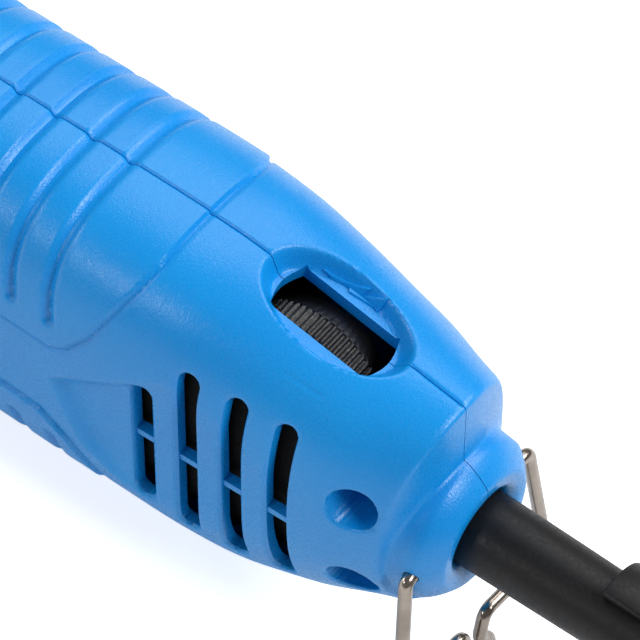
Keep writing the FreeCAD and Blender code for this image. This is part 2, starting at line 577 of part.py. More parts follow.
parts["plug_pins"] = Part.makeCompound(pins)
for name in ("plug_body", "plug_pins"):
    parts[name].Placement = place

for name, shape in parts.items():
    shape.exportStep("parts/" + name + ".step")
    if not shape.isValid() or shape.Volume <= 0:
        print("check", name, shape.isValid(), shape.Volume)
print(len(parts), "nodes")
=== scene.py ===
# Corded rotary tool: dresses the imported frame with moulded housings, a toothed dial, wire, cord and finishes.
import json
import math

import bmesh
import bpy
import numpy as np
from mathutils import Matrix, Vector


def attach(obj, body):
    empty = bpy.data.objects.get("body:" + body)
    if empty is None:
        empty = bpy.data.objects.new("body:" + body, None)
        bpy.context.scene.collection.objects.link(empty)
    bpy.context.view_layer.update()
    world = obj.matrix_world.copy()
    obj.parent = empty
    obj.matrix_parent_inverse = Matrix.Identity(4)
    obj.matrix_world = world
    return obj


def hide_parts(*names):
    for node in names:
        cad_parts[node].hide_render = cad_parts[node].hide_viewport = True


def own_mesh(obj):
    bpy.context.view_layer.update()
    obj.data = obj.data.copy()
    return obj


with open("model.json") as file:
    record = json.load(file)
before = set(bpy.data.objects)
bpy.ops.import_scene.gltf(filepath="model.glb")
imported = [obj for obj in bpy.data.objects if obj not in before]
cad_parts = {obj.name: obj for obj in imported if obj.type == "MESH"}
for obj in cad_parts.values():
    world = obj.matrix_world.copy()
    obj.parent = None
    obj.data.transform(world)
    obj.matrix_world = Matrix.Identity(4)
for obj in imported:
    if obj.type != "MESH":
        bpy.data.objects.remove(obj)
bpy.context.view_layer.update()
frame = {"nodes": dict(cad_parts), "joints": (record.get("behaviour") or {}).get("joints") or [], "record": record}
bpy.ops.object.select_all(action="DESELECT")
nodes = frame["nodes"]
joints = {joint["name"]: joint for joint in frame["joints"]}
mm = 0.001

# The tool lies tail-up: its own level axes (x to the tail, y to the far side, z up) sit in the frame like this.
toolOrigin = Vector(joints["hanger_swing"]["pos_m"])
toolAxis = Vector(joints["spindle_spin"]["axis"]).normalized()
toolPitch = math.atan2(toolAxis.z, toolAxis.x)
toolTurn = Matrix.Rotation(-toolPitch, 4, "Y")
toolPlace = Matrix.Translation(toolOrigin) @ toolTurn
toolFromMm = toolPlace @ Matrix.Scale(mm, 4)


def toolPoint(x, y, z):
    return toolFromMm @ Vector((x, y, z))


# ---- camera and lights ----
cameraSpec = {"at": (175.55, -263.96, 464.11), "azimuth": 37.38, "elevation": 52.93, "roll": 0.8985,
              "lens": 225.6}


def makeCamera(spec):
    a, e, r = (math.radians(spec[key]) for key in ("azimuth", "elevation", "roll"))
    right = Vector((math.cos(a), math.sin(a), 0))
    back = Vector((math.sin(a) * math.cos(e), -math.cos(a) * math.cos(e), math.sin(e)))
    up = back.cross(right)
    rolledRight = math.cos(r) * right + math.sin(r) * up
    rolledUp = -math.sin(r) * right + math.cos(r) * up
    axes = Matrix((rolledRight, rolledUp, back)).transposed().to_4x4()
    data = bpy.data.cameras.new("camera")
    data.lens = spec["lens"]
    data.sensor_width = 36.0
    data.clip_start = 0.02
    data.clip_end = 20.0
    camera = bpy.data.objects.new("camera", data)
    bpy.context.scene.collection.objects.link(camera)
    camera.matrix_world = Matrix.Translation(toolPoint(*spec["at"])) @ toolTurn @ axes
    bpy.context.scene.camera = camera
    return camera


camera = makeCamera(cameraSpec)
bpy.context.scene.view_settings.view_transform = "Standard"
print("camera set")

# ---- finishes ----


def linearHex(code):
    channels = [int(code[i:i + 2], 16) / 255 for i in (1, 3, 5)]
    return tuple(c / 12.92 if c <= 0.04045 else ((c + 0.055) / 1.055) ** 2.4 for c in channels) + (1.0,)


def addNode(tree, kind, settings=None, links=None):
    node = tree.nodes.new(kind)
    for key, value in (settings or {}).items():
        if isinstance(key, str) and hasattr(node, key):
            setattr(node, key, value)
        else:
            node.inputs[key].default_value = value
    for key, socket in (links or {}).items():
        tree.links.new(socket, node.inputs[key])
    return node


def makeFinish(name, f):
    material = bpy.data.materials.new(name)
    material.use_nodes = True
    tree = material.node_tree
    shader = tree.nodes["Principled BSDF"]
    shader.inputs["Metallic"].default_value = f.get("metallic", 0.0)
    if "ior" in f:
        shader.inputs["IOR"].default_value = f["ior"]
    if "coat" in f:
        shader.inputs["Coat Weight"].default_value = f["coat"]
        shader.inputs["Coat Roughness"].default_value = 0.2
    if "subsurface" in f:
        shader.inputs["Subsurface Weight"].default_value = f["subsurface"]
        shader.inputs["Subsurface Radius"].default_value = (0.2, 0.5, 1.0)
        shader.inputs["Subsurface Scale"].default_value = 1.2 * mm
    place = addNode(tree, "ShaderNodeTexCoord")
    level = addNode(tree, "ShaderNodeMapping", {"Rotation": (0, toolPitch, 0)},
                    {"Vector": place.outputs["Object"]})
    along = addNode(tree, "ShaderNodeMapping", {"Scale": f.get("stretch", (1, 1, 1))},
                    {"Vector": level.outputs["Vector"]})
    patches = addNode(tree, "ShaderNodeTexNoise", {"Scale": 1 / (f.get("patch", 14) * mm), "Detail": 3.0},
                      {"Vector": level.outputs["Vector"]})
    grain = addNode(tree, "ShaderNodeTexNoise", {"Scale": 1 / (f["grain"] * mm), "Detail": 2.0},
                    {"Vector": along.outputs["Vector"]})
    tint = addNode(tree, "ShaderNodeValToRGB", links={"Fac": patches.outputs["Fac"]})
    tint.color_ramp.elements[0].position = 0.3
    tint.color_ramp.elements[1].position = 0.7
    tint.color_ramp.elements[0].color = linearHex(f["dark"])
    tint.color_ramp.elements[1].color = linearHex(f["light"])
    colour = tint.outputs["Color"]
    if "bands" in f:  # sheets, turns or bars that repeat along the tool
        bands = addNode(tree, "ShaderNodeTexWave", {"Scale": 0.314 / (f["bands"] * mm), "Distortion": 0.3,
                                                    "bands_direction": f.get("bandsAlong", "X")},
                        {"Vector": level.outputs["Vector"]})
        mixed = addNode(tree, "ShaderNodeMix", {"data_type": "RGBA", "blend_type": "MULTIPLY", 0: 0.55},
                        {6: colour, 7: bands.outputs["Color"]})
        colour = mixed.outputs[2]
    tree.links.new(colour, shader.inputs["Base Color"])
    low, high = f["roughness"]
    rough = addNode(tree, "ShaderNodeMapRange", {1: 0.35, 2: 0.65, 3: low, 4: high}, {0: grain.outputs["Fac"]})
    tree.links.new(rough.outputs[0], shader.inputs["Roughness"])
    bump = addNode(tree, "ShaderNodeBump", {"Strength": f.get("bump", 0.2),
                                            "Distance": f.get("height", 0.02) * mm},
                   {"Height": grain.outputs["Fac"]})
    tree.links.new(bump.outputs["Normal"], shader.inputs["Normal"])
    return material


# Each finish: what it is and how its surface was made, with sizes in millimetres.
finishSpecs = {
    # blue ABS, injection moulded against a spark-eroded steel tool: soft gloss broken into fine sparkle
    "blue_plastic": ("sparkErodedBlueAbs", {"dark": "#078ADA", "light": "#0C94E2", "roughness": (0.22, 0.38),
                     "ior": 1.47, "grain": 0.3, "bump": 0.8, "height": 0.07, "patch": 30, "subsurface": 0.05}),
    # black glass-filled nylon, moulded: matt with pale fibre specks
    "black_nylon": ("mouldedBlackNylon", {"dark": "#0B0B0D", "light": "#151518", "roughness": (0.3, 0.5),
                    "ior": 1.53, "grain": 0.3, "bump": 1.0, "height": 0.12, "patch": 6}),
    # natural nylon fan, moulded smooth and slightly waxy
    "fan_nylon": ("mouldedNaturalNylon", {"dark": "#CFC8B4", "light": "#DDD7C6", "roughness": (0.4, 0.55),
                  "ior": 1.53, "grain": 0.6, "bump": 0.1, "patch": 8, "subsurface": 0.1}),
    # black thermoplastic rubber sleeve, moulded: satin with a broad soft sheen
    "black_rubber": ("mouldedBlackRubber", {"dark": "#060608", "light": "#0C0C0E", "roughness": (0.42, 0.56),
                     "ior": 1.42, "grain": 0.5, "bump": 0.25, "height": 0.03, "patch": 9}),
    # black PVC sheath, drawn through a die: satin, with faint lengthwise streaks
    "black_pvc": ("extrudedBlackPvc", {"dark": "#131314", "light": "#1D1D1F", "roughness": (0.38, 0.55),
                  "ior": 1.53, "grain": 0.7, "bump": 0.2, "height": 0.03, "patch": 12}),
    # nylon strap with a ribbed face
    "tie_nylon": ("ribbedNylonStrap", {"dark": "#161617", "light": "#202022", "roughness": (0.4, 0.6),
                  "ior": 1.53, "grain": 0.5, "bump": 0.4, "height": 0.06, "patch": 5}),
    # nickel plate over drawn steel wire: bright, with a warm cast
    "nickel_steel": ("nickelPlatedSteel", {"dark": "#8C8278", "light": "#A99F95", "metallic": 1.0,
                     "roughness": (0.16, 0.26), "grain": 0.5, "bump": 0.08, "height": 0.01, "patch": 5}),
    # zinc-plated steel: greyer, with a faint crystalline haze
    "zinc_steel": ("zincPlatedSteel", {"dark": "#9FA3A6", "light": "#B9BCBE", "metallic": 1.0,
                   "roughness": (0.28, 0.42), "grain": 0.4, "bump": 0.12, "height": 0.01, "patch": 3}),
    # ground bearing steel: fine circular scratches that run round the axis
    "ground_steel": ("groundSteel", {"dark": "#8E9194", "light": "#A6A9AC", "metallic": 1.0, "stretch": (8, 1, 1),
                     "roughness": (0.18, 0.34), "grain": 0.8, "bump": 0.15, "height": 0.01, "patch": 6}),
    # varnished stack of 0.5 mm electrical steel sheets, seen as fine lines across the axis
    "lamination_steel": ("varnishedSteelSheets", {"dark": "#4C4C50", "light": "#67676B", "metallic": 0.9,
                         "roughness": (0.35, 0.5), "grain": 0.6, "bump": 0.2, "bands": 1.0, "patch": 7}),
    # enamelled copper wire, wound: glossy orange-brown turns
    "copper_wire": ("enamelledCopperWire", {"dark": "#8F3F16", "light": "#B45A22", "metallic": 0.85,
                    "roughness": (0.22, 0.34), "grain": 0.5, "bump": 0.3, "bands": 0.7, "coat": 0.6, "patch": 4}),
    # turned copper bars of the commutator, darkened where the brushes run
    "copper_segments": ("turnedCopper", {"dark": "#9A5A3C", "light": "#C9835C", "metallic": 1.0,
                        "roughness": (0.2, 0.34), "grain": 0.5, "stretch": (8, 1, 1), "bump": 0.15, "patch": 5}),
    # stamped brass with a rolled sheen
    "brass_stamping": ("stampedBrass", {"dark": "#A88642", "light": "#C7A35A", "metallic": 1.0,
                       "roughness": (0.24, 0.36), "grain": 0.6, "bump": 0.1, "patch": 6}),
    # oil-filled sintered bronze: dull, with open pores
    "bronze": ("sinteredBronze", {"dark": "#7A5530", "light": "#956B3E", "metallic": 0.9,
               "roughness": (0.42, 0.6), "grain": 0.3, "bump": 0.5, "height": 0.04, "patch": 4}),
    # pressed carbon graphite: charcoal with a dull shine
    "carbon": ("pressedCarbon", {"dark": "#050506", "light": "#0B0B0D", "roughness": (0.6, 0.8),
               "ior": 1.25, "grain": 0.3, "bump": 0.4, "height": 0.03, "patch": 3}),
    # glass-epoxy board under green solder mask: glassy over a faint weave
    "board_green": ("greenSolderMask", {"dark": "#0E5A2E", "light": "#15703A", "roughness": (0.2, 0.35),
                    "ior": 1.5, "grain": 0.8, "bump": 0.15, "patch": 5, "coat": 0.3}),
    # extruded aluminium, left bare: pale with die lines along the fins
    "bare_aluminium": ("extrudedAluminium", {"dark": "#B4B7BA", "light": "#C9CCCE", "metallic": 1.0,
                       "stretch": (0.1, 4, 4), "roughness": (0.26, 0.4), "grain": 0.8, "bump": 0.2, "patch": 6}),
    # moulded box of a film capacitor: glossy yellow
    "capacitor_yellow": ("mouldedYellowBox", {"dark": "#D8A21C", "light": "#E6B32E", "roughness": (0.25, 0.35),
                         "ior": 1.5, "grain": 0.5, "bump": 0.1, "patch": 6}),
    # PVC insulation of the inner leads
    "lead_insulation": ("redLeadPvc", {"dark": "#A81E16", "light": "#C22B1F", "roughness": (0.35, 0.45),
                        "ior": 1.53, "grain": 0.4, "bump": 0.1, "patch": 5}),
}
finishes = {key: makeFinish(name, spec) for key, (name, spec) in finishSpecs.items()}
for part in frame["record"]["subparts"]:
    data = nodes[part["node"]].data
    data.materials.clear()
    data.materials.append(finishes[part["material_slot"]])
    for face in data.polygons:
        face.material_index = 0
print("finishes made", len(finishes))


def placePiece(piece, body, slotName, *replaced):
    piece.data.materials.clear()
    piece.data.materials.append(finishes[slotName])
    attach(piece, body)
    if replaced:
        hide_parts(*replaced)
    return piece


def meshPiece(name, vertices, faces):
    data = bpy.data.meshes.new(name)
    data.from_pydata(vertices, [], faces)
    data.update()
    piece = bpy.data.objects.new(name, data)
    bpy.context.scene.collection.objects.link(piece)
    return piece


def makeActive(piece):
    bpy.ops.object.select_all(action="DESELECT")
    piece.select_set(True)
    bpy.context.view_layer.objects.active = piece


def smoothByAngle(piece, degrees):
    makeActive(piece)
    bpy.ops.object.shade_smooth_by_angle(angle=math.radians(degrees))


def applyModifiers(piece):
    makeActive(piece)
    for modifier in list(piece.modifiers):
        bpy.ops.object.modifier_apply(modifier=modifier.name)


# ---- mains cord: one spline from the strain relief, over the bench and round the tied hank ----
cordSpec = {
    "radius": 3.2 * mm,
    "run": [(0.117969, 0.0, 0.049693), (0.147591, 0.0, 0.054438), (0.178091, -0.003, 0.043038),
            (0.206091, -0.011, 0.019), (0.236091, -0.0195, 0.00335)],
    "hankFrom": 262.091 * mm, "hankHalf": 34.8 * mm, "foldR": 19.5 * mm,
    "low": 3.35 * mm, "layer": 6.45 * mm, "folds": 9, "perFold": 8,
    "tail": [(0.236091, 0.0195, 0.0297), (0.202091, 0.013, 0.0048), (0.180091, 0.011, 0.00465)],
}


def hankPoints(spec):
    # straight runs and half rounds, stacked; each turn climbs a layer in the half round nearest the tool
    near = spec["hankFrom"]
    far = near + 2 * spec["hankHalf"]
    radius = spec["foldR"] / math.cos(math.pi / (2 * spec["perFold"]))
    points = []
    for fold in range(spec["folds"]):
        z = spec["low"] + (fold // 2) * spec["layer"]
        outward = fold % 2 == 0
        side = -1 if outward else 1
        starts, ends = (near, far) if outward else (far, near)
        points.append((starts, side * spec["foldR"], z))
        points.append(((starts + ends) / 2, side * spec["foldR"], z))
        for i in range(spec["perFold"] + 1):
            share = i / spec["perFold"]
            around = math.pi * share
            x = ends + (1 if outward else -1) * radius * math.sin(around)
            y = side * radius * math.cos(around)
            climb = 0.0 if outward else min(1.0, max(0.0, (share - 0.15) / 0.6))
            points.append((x, y, z + spec["layer"] * climb * climb * (3 - 2 * climb)))
    top = spec["low"] + (spec["folds"] // 2) * spec["layer"]
    points.append(((near + far) / 2, spec["foldR"], top))
    points.append((near, spec["foldR"], top + 0.4 * mm))
    return points


def makeCord(spec):
    points = [Vector(p) for p in spec["run"] + hankPoints(spec) + spec["tail"]]
    curve = bpy.data.curves.new("mains_cord", "CURVE")
    curve.dimensions = "3D"
    curve.bevel_depth = spec["radius"]
    curve.bevel_resolution = 5
    curve.use_fill_caps = True
    curve.resolution_u = 6
    spline = curve.splines.new("NURBS")
    spline.points.add(len(points) - 1)
    for place, point in zip(spline.points, points):
        place.co = (*point, 1.0)
    spline.order_u = 3
    spline.use_endpoint_u = True
    piece = bpy.data.objects.new("mains_cord", curve)
    bpy.context.scene.collection.objects.link(piece)
    curve.materials.append(finishes["black_pvc"])
    return piece


def lineLength(piece):
    copy = piece.copy()
    copy.data = piece.data.copy()
    copy.data.bevel_depth = 0.0
    bpy.context.scene.collection.objects.link(copy)
    bpy.context.view_layer.update()
    line = bpy.data.meshes.new_from_object(copy.evaluated_get(bpy.context.evaluated_depsgraph_get()))
    spots = [v.co.copy() for v in line.vertices]
    bpy.data.objects.remove(copy)
    return sum((b - a).length for a, b in zip(spots, spots[1:]))


cord = makeCord(cordSpec)
print("cord line", round(lineLength(cord), 4), "m")
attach(cord, "housing")
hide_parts("cord", "cord_coil", "cord_tail")

# ---- housing halves ----
housingSpec = {
    # x, top z, bottom z, centre z, half width, squareness of the section
    "stations": [(-152.0, 18.6, -9.4, 4.6, 14.0, 2.0), (-144.0, 20.4, -11.2, 4.6, 15.2, 2.0),
                 (-132.0, 24.6, -15.4, 4.6, 17.0, 2.1), (-118.0, 30.6, -21.4, 4.6, 19.8, 2.4),
                 (-106.0, 33.8, -25.0, 4.6, 21.3, 2.8), (-77.0, 33.8, -25.0, 4.6, 21.3, 2.8),
                 (-48.0, 33.8, -25.0, 4.6, 21.3, 2.8), (-38.0, 33.3, -26.3, 4.3, 20.4, 2.8),
                 (-29.0, 31.7, -26.6, 4.0, 19.3, 2.7), (-20.0, 29.8, -24.4, 3.6, 18.3, 2.45),
                 (-10.0, 27.6, -20.4, 3.2, 17.2, 2.2), (-1.5, 25.8, -16.7, 3.0, 15.4, 2.05)],
    "bowFrom": -16.0, "bowOver": 14.0, "bowAhead": 0.5, "bowCurve": 0.0165,
    "wall": 2.4, "step": 0.37, "coarse": 1.3, "fineFrom": -112.0, "rows": 216, "seam": 0.06,
    "padStep": 0.45, "padEdge": 0.4, "padTrough": 0.3,
    "padRear": [(-45.4, 34.5), (-45.5, 32.7), (-46.9, 29.2), (-48.7, 26.0), (-51.9, 19.5), (-55.3, 15.1),
                (-57.6, 13.9), (-60.5, 13.9), (-170.0, 13.9), (-170.0, 60.0), (-45.4, 60.0)],
    "padBelly": [(-49.0, -60.0), (-49.4, -26.0), (-50.5, -19.0), (-53.0, -12.8), (-56.4, -7.4), (-60.5, -3.9),
                 (-64.0, -3.5), (-170.0, -3.5), (-170.0, -60.0)],
    "grooveFirst": -59.8, "groovePitch": 6.8, "grooveCount": 7, "grooveHalf": 1.5, "grooveDepth": 0.95,
    "grooveLean": 1.3, "grooveTop": 18.8, "grooveBelly": -9.6,
    "panel": [(-58.6, 6.6), (-36.5, 21.5), (-25.0, 24.0), (-10.0, 26.0), (-10.0, -24.0), (-25.0, -20.0),
              (-36.0, -16.0), (-46.5, -12.5), (-53.6, -6.0)],
    "floorFront": (-70.0, 20.0), "floorRear": (-20.0, 18.0), "panelEdge": 2.6,
    "slotFirst": -20.05, "slotPitch": 7.6, "slotWidth": 3.3, "rim": 0.8,
    "slots": [(20.6, -14.2), (21.6, -14.8), (22.2, -13.8), (14.8, -11.6)],
    "bar": (2.4, 0.6, 0.9),           # middle height, half height, how far under the skin
    "barEnds": (-45.5, -14.5), "barThick": 1.5, "barSlope": 0.25,
    "gripStations": (4, 5, 6), "gripEase": 0.35,
    "wells": [(-8.8, 10.9), (-8.8, -7.0), (-54.0, -19.0), (-121.0, 20.5), (-121.0, -11.5), (-138.0, -7.2)],
    "wellR": 3.7, "wellRim": 0.5, "wellSeat": 6.0, "bossR": 4.6, "bossUnder": 0.8,
    "dishAt": (-23.3, -0.4, 26.6), "dishTilt": 11.8, "dishFloor": (10.3, 6.0), "dishGrow": (0.62, 0.5),
    "window": (8.3, 4.03, 1.1),       # half length, half width, bulge of the ends
    "hangerHoleR": 1.16, "switchWay": ((-111.0, -3.3, 22.0), (-97.0, 3.3, 40.0)),
    "lockWay": (-138.0, 4.25, 12.0, 34.0),     # x, radius, bottom, top
}


def smoothStep(t):
    t = np.clip(t, 0.0, 1.0)
    return t * t * (3 - 2 * t)


def softMin(a, b, radius):
    h = np.clip(0.5 + 0.5 * (b - a) / radius, 0.0, 1.0)
    return b * (1 - h) + a * h - radius * h * (1 - h)


def insideDistance(outline, u, v):
    # signed distance to a closed outline, positive inside
    best = np.full(np.shape(u), 1e9)
    inside = np.zeros(np.shape(u), bool)
    for (ax, ay), (bx, by) in zip(outline, outline[1:] + outline[:1]):
        ex, ey = bx - ax, by - ay
        t = np.clip(((u - ax) * ex + (v - ay) * ey) / (ex * ex + ey * ey), 0, 1)
        best = np.minimum(best, np.hypot(u - ax - t * ex, v - ay - t * ey))
        if ey != 0:
            crosses = ((ay > v) != (by > v)) & (u < ax + (v - ay) * ex / ey)
            inside ^= crosses
    return np.where(inside, best, -best)


def stationAt(spec, x):
    table = np.array(spec["stations"])
    xs = table[:, 0]
    slopes = np.gradient(table, xs, axis=0)
    gripFront, gripMiddle, gripRear = spec["gripStations"]     # the grip is straight and eases into the tail
    slopes[gripFront] = slopes[gripMiddle] = 0.0
    slopes[gripRear] *= spec["gripEase"]
    i = np.clip(np.searchsorted(xs, x) - 1, 0, len(xs) - 2)
    h = xs[i + 1] - xs[i]
    t = ((x - xs[i]) / h)[:, None]
    h = h[:, None]
    start = table[i] * (1 + 2 * t) * (1 - t) ** 2 + slopes[i] * h * t * (1 - t) ** 2
    end = table[i + 1] * t * t * (3 - 2 * t) - slopes[i + 1] * h * t * t * (1 - t)
    return start + end


def sectionRing(station, inset, rows):
    x, top, bottom, centre, half, power = station
    angle = np.linspace(math.pi / 2, -math.pi / 2, 1600)
    c, s = np.cos(angle), np.sin(angle)
    c[0] = c[-1] = 0.0
    y = (half - inset) * np.abs(c) ** (2 / power)
    tall = np.where(s > 0, top - centre, centre - bottom) - inset
    z = centre + tall * np.sign(s) * np.abs(s) ** (2 / power)
    run = np.concatenate([[0.0], np.cumsum(np.hypot(np.diff(y), np.diff(z)))])
    even = np.linspace(0, run[-1], rows)
    return np.stack([np.full(rows, x), np.interp(even, run, y), np.interp(even, run, z)], axis=1)


def dishHeight(spec, u, v):
    # height of the oval dish above its floor, in the dish's own axes
    low = np.zeros(np.shape(u))
    high = np.full(np.shape(u), 12.0)
    a, b = spec["dishFloor"]
    ga, gb = spec["dishGrow"]
    for _ in range(22):
        mid = (low + high) / 2
        outside = (u / (a + ga * mid)) ** 2 + (v / (b + gb * mid)) ** 2 > 1
        low = np.where(outside, mid, low)
        high = np.where(outside, high, mid)
    return low


dishTurn = Matrix.Rotation(math.radians(housingSpec["dishTilt"]), 3, "Y")
dishAxes = np.array(dishTurn)


def toDish(spec, points):
    return (points - np.array(spec["dishAt"])) @ dishAxes


def fromDish(spec, points):
    return points @ dishAxes.T + np.array(spec["dishAt"])


def panelFloor(spec, x):
    (xa, ya), (xb, yb) = spec["floorFront"], spec["floorRear"]
    return ya + (yb - ya) * (x - xa) / (xb - xa)


def slotDistance(spec, x, z):
    best = np.full(np.shape(x), 1e9)
    r = spec["slotWidth"] / 2
    for i, (high, low) in enumerate(spec["slots"]):
        dz = np.maximum(0, np.maximum(z - (high - r), (low + r) - z))
        best = np.minimum(best, np.hypot(x - (spec["slotFirst"] - i * spec["slotPitch"]), dz) - r)
    return best


def rimDrop(distance, radius):
    # how far a rounded rim falls away, at a distance outside the opening
    t = np.clip(distance, 0, radius)
    return radius - np.sqrt(np.maximum(0, radius ** 2 - (radius - t) ** 2))


def tailBow(spec, y):
    # the tail end is bowed: its middle stands rearward of its flanks
    return spec["bowAhead"] - spec["bowCurve"] * y ** 2


def shapeSkin(spec, rings, near):
    # soft moulded detail: pads, grooves, sunk panels and rounded rims, pressed into the plain skin
    p = np.stack(rings)
    p[:, :, 0] += smoothStep((p[:, :, 0] - spec["bowFrom"]) / spec["bowOver"]) * tailBow(spec, p[:, :, 1])
    du = np.gradient(p, axis=0)
    dv = np.gradient(p, axis=1)
    normal = np.cross(du, dv)
    normal /= np.linalg.norm(normal, axis=2, keepdims=True) + 1e-9
    normal *= np.where(normal[:, :, 1:2] < -1e-6, -1.0, 1.0)
    x, y, z = p[:, :, 0], p[:, :, 1], p[:, :, 2]
    pad = np.maximum(insideDistance(spec["padRear"], x, z), insideDistance(spec["padBelly"], x, z))
    push = spec["padStep"] * (1 - smoothStep(pad / spec["padEdge"] + 0.5))
    push += spec["padTrough"] * np.exp(-((pad + 0.4) / 0.36) ** 2)
    groove = np.zeros(x.shape)
    for i in range(spec["grooveCount"]):
        lean = spec["grooveLean"] * np.clip((30.0 - z) / 11.0, 0, 1) ** 2 * (z > 0)
        dx = x - (spec["grooveFirst"] - i * spec["groovePitch"] + lean)
        dx = np.where(dx < 0, dx * 1.4, dx * 0.85)    # steeper on the side towards the nose
        for end in (np.maximum(0, spec["grooveTop"] - z), np.maximum(0, z - spec["grooveBelly"])):
            groove = np.maximum(groove, 1 - smoothStep(np.hypot(dx, end) / spec["grooveHalf"]))
    push = push + spec["grooveDepth"] * groove
    p = p - normal * push[:, :, None]
    # sunk panel: the flank flattens down to a sloping floor
    x, y, z = p[:, :, 0], p[:, :, 1], p[:, :, 2]
    inside = smoothStep(insideDistance(spec["panel"], x, z) / spec["panelEdge"])
    floor = panelFloor(spec, x)
    sunk = softMin(y, np.broadcast_to(floor, y.shape), 0.5)
    p[:, :, 1] = np.where(y > 8, y + (sunk - y) * inside, y)
    drop = rimDrop(slotDistance(spec, x, z), spec["rim"])
    if near:
        for wx, wz in spec["wells"]:
            drop = np.maximum(drop, rimDrop(np.hypot(x - wx, z - wz) - spec["wellR"], spec["wellRim"]))
    p[:, :, 1] = np.where(y > 6, p[:, :, 1] - drop, p[:, :, 1])
    # seam: a fine rounded line where the halves meet
    seam = np.maximum(0, 1 - p[:, :, 1] / 0.5)
    p[:, :, 2] -= np.sign(p[:, :, 2]) * 0.3 * seam ** 2
    # dial recess
    side = -1.0 if near else 1.0
    q = p * np.array([1.0, side, 1.0])
    local = toDish(spec, q)
    height = dishHeight(spec, local[:, :, 0], local[:, :, 1])
    height = np.where(local[:, :, 2] > 0, height, local[:, :, 2])
    pressed = np.where(z > 15, softMin(local[:, :, 2], height, 0.55), local[:, :, 2])
    over = np.hypot(local[:, :, 0] / 14.5, local[:, :, 1] / 9.6)
    local[:, :, 2] = np.where(over < 1.15, pressed, local[:, :, 2])
    return fromDish(spec, local)


def hollowSkin(spec, rings, near):
    p = np.stack(rings)
    x, y, z = p[:, :, 0], p[:, :, 1], p[:, :, 2]
    inside = smoothStep(insideDistance(spec["panel"], x, z) / spec["panelEdge"] + 1.0)
    p[:, :, 1] = np.where(y > 8, y + (np.minimum(y, panelFloor(spec, x) - 2.2) - y) * inside, y)
    side = -1.0 if near else 1.0
    local = toDish(spec, p * np.array([1.0, side, 1.0]))
    over = np.hypot(local[:, :, 0] / 14.0, local[:, :, 1] / 9.0)
    under = -spec["wall"] + 6.0 * smoothStep((over - 0.75) / 0.6)
    local[:, :, 2] = np.where((over < 1.3) & (z > 12), np.minimum(local[:, :, 2], under), local[:, :, 2])
    return fromDish(spec, local)


def roundRing(x, radius, centre, guide):
    around = np.arctan2(guide[:, 2] - centre, guide[:, 1])
    around[0], around[-1] = math.pi / 2, -math.pi / 2
    return np.stack([np.full(len(guide), x), radius * np.cos(around), centre + radius * np.sin(around)], axis=1)


def housingHalf(spec, name, near):
    rows = spec["rows"]
    fine = np.arange(spec["fineFrom"], -2.2, spec["step"])
    xs = np.concatenate([np.arange(-152.0, spec["fineFrom"] - 0.6, spec["coarse"]), fine, [-2.3]])
    outer = [sectionRing(s, 0.0, rows) for s in stationAt(spec, xs)]
    skin = shapeSkin(spec, outer, near)
    last = stationAt(spec, np.array([-1.5]))[0]
    rear = []
    for turn in (20, 40, 60, 80, 90):     # rounded shoulder at the tail
        a = math.radians(turn)
        ring = sectionRing(last, 0.45 + 0.75 * (1 - math.cos(a)), rows)
        ring[:, 0] = -2.25 + 0.75 * math.sin(a) + tailBow(spec, ring[:, 1])
        rear.append(ring)
    guide = rear[-1]
    # the bowed end face runs in to the collar's foot: share of round, x, radius, share of the bow
    for share, x, radius, bow in ((0.35, -1.47, 13.6, 1.0), (0.75, -1.45, 13.6, 1.0), (1.0, -1.38, 13.45, 1.0),
                                  (1.0, -1.15, 13.2, 0.96), (1.0, -0.7, 13.1, 0.8), (1.0, -0.25, 13.0, 0.45)):
        mixed = guide * (1 - share) + roundRing(x, radius, 0.0, guide) * share
        mixed[:, 0] = x + tailBow(spec, mixed[:, 1]) * bow
        rear.append(mixed)
    collar = [(0.3, 12.85), (0.8, 12.5), (1.3, 12.1), (1.9, 11.55), (2.4, 11.0), (2.9, 10.4), (3.3, 9.9),
              (3.48, 9.5),
              (3.5, 9.1), (3.45, 8.0), (3.3, 7.5), (2.9, 7.0), (2.3, 6.5), (1.6, 6.25), (0.8, 6.15), (-2.7, 6.15),
              (-5.0, 6.15)]
    rear += [roundRing(x, r, 0.0, guide) for x, r in collar]
    cavityXs = np.concatenate([np.linspace(-5.0, -50.0, 26), np.linspace(-54.0, -150.0, 26)])
    hollow = [sectionRing(s, spec["wall"] + 0.1, rows) for s in stationAt(spec, cavityXs)]
    inner = hollowSkin(spec, hollow, near)
    front = [roundRing(x, r, 4.6, outer[0]) for x, r in ((-150.0, 10.95), (-151.7, 10.95), (-152.0, 11.25))]
    side = -1.0 if near else 1.0
    rings = []
    # the skins already stand on their own side, the other rings are turned to it
    for group, turned in ((skin, 1.0), (rear, side), (inner, 1.0), (front, side)):
        for ring in group:
            ring = ring.copy()
            ring[:, 1] = side * np.maximum(spec["seam"], side * turned * ring[:, 1])
            ring[0, 1] = ring[-1, 1] = side * spec["seam"]
            rings.append(ring)
    columns = len(rings)
    points = np.concatenate(rings)
    faces = []
    for k in range(columns):
        a, b = k * rows, ((k + 1) % columns) * rows
        for j in range(rows - 1):
            quad = (a + j, b + j, b + j + 1, a + j + 1)
            faces.append(quad if near else quad[::-1])
    for j in (0, rows - 1):
        faces.append([k * rows + j for k in range(columns)])
    piece = meshPiece(name, points.tolist(), faces)
    work = bmesh.new()
    work.from_mesh(piece.data)
    caps = [f for f in work.faces if len(f.verts) > 4]
    bmesh.ops.triangulate(work, faces=caps)
    bmesh.ops.recalc_face_normals(work, faces=work.faces)
    work.to_mesh(piece.data)
    work.free()
    return piece


def fixNormals(piece):
    work = bmesh.new()
    work.from_mesh(piece.data)
    bmesh.ops.recalc_face_normals(work, faces=work.faces)
    work.to_mesh(piece.data)
    work.free()


